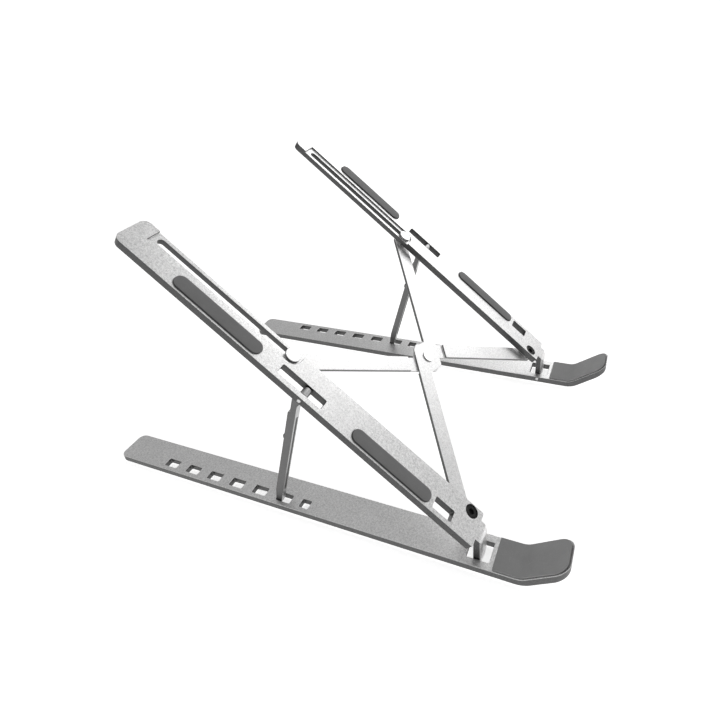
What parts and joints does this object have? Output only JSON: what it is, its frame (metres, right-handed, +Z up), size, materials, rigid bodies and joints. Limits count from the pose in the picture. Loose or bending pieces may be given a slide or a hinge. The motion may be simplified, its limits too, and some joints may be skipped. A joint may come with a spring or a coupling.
{
  "type": "laptop stand",
  "caption": "Folding aluminium laptop stand: slotted base bars with turned-up padded lips, hinged padded rails on prop struts, and a scissor cross brace.",
  "frame": {"origin": "on the surface it stands on, at the middle of the footprint", "axes": "+Y from the lips at the user towards the raised rear, +X to the right for the user, +Z up"},
  "size_m": [0.1804, 0.2752, 0.1598],
  "materials": {
    "aluminium": "fine sandblasted, clear anodised",
    "strut_aluminium": "satin anodised",
    "silicone": "matt grey silicone",
    "bumper_rubber": "matt dark rubber",
    "black_screws": "black oxide",
    "steel": "bright turned"
  },
  "bodies": {
    "base_left": {"base_bar_left": "aluminium", "lip_pad_left": "silicone", "base_foot_front_left": "silicone", "base_foot_rear_left": "silicone", "hinge_pin_left": "steel"},
    "rail_left": {"rail_left": "aluminium", "rail_pad_rear_left": "silicone", "rail_pad_front_left": "silicone", "strut_pin_left": "steel", "pivot_screw_left": "black_screws", "pivot_nut_left": "black_screws", "pivot_washer_left": "steel"},
    "strut_left": {"strut_left": "strut_aluminium", "strut_bumper_left": "bumper_rubber"},
    "crossbar_a": {"crossbar_a": "aluminium", "slider_rivet_right": "steel", "slider_washer_right": "steel", "centre_rivet": "steel"},
    "crossbar_b": {"crossbar_b": "aluminium", "slider_rivet_left": "steel", "slider_washer_left": "steel"},
    "rail_right": {"rail_right": "aluminium", "rail_pad_rear_right": "silicone", "rail_pad_front_right": "silicone", "strut_pin_right": "steel", "pivot_screw_right": "black_screws", "pivot_nut_right": "black_screws", "pivot_washer_right": "steel"},
    "strut_right": {"strut_right": "strut_aluminium", "strut_bumper_right": "bumper_rubber"},
    "base_right": {"base_bar_right": "aluminium", "lip_pad_right": "silicone", "base_foot_front_right": "silicone", "base_foot_rear_right": "silicone", "hinge_pin_right": "steel"}
  },
  "joints": [
    {"name": "deck_tilt", "type": "hinge", "parent": "base_left", "child": "rail_left", "pos_m": [-0.0797, -0.09582, 0.00285], "axis": [1, 0, 0], "range_deg": [0, 45]},
    {"name": "strut_fold_left", "type": "hinge", "parent": "rail_left", "child": "strut_left", "pos_m": [-0.08435, -0.01323, 0.0859], "axis": [1, 0, 0], "range_deg": [-67.5, 0]},
    {"name": "scissor_fold", "type": "hinge", "parent": "rail_left", "child": "crossbar_a", "pos_m": [-0.07345, -0.08556, 0.01835], "axis": [0, -0.6547, 0.7559], "range_deg": [0, 49.1]},
    {"name": "centre_pivot", "type": "hinge", "parent": "crossbar_a", "child": "crossbar_b", "pos_m": [0, -0.0421, 0.056], "axis": [0, -0.6547, 0.7559], "range_deg": [-98.3, 0]},
    {"name": "right_pivot", "type": "hinge", "parent": "crossbar_b", "child": "rail_right", "pos_m": [0.07345, -0.08556, 0.01835], "axis": [0, -0.6547, 0.7559], "range_deg": [0, 49.2]},
    {"name": "base_fold_right", "type": "hinge", "parent": "rail_right", "child": "base_right", "pos_m": [0.0797, -0.09582, 0.00285], "axis": [1, 0, 0], "range_deg": [-45.1, 0]},
    {"name": "strut_fold_right", "type": "hinge", "parent": "rail_right", "child": "strut_right", "pos_m": [0.08435, -0.01323, 0.0859], "axis": [1, 0, 0], "range_deg": [-67.5, 0]}
  ],
  "couplings": [
    {"joint": "strut_fold_left", "follows": "deck_tilt", "ratio": -1.498},
    {"joint": "strut_fold_right", "follows": "deck_tilt", "ratio": -1.498},
    {"joint": "base_fold_right", "follows": "deck_tilt", "ratio": -1},
    {"joint": "centre_pivot", "follows": "scissor_fold", "ratio": -2},
    {"joint": "right_pivot", "follows": "scissor_fold", "ratio": 1}
  ]
}
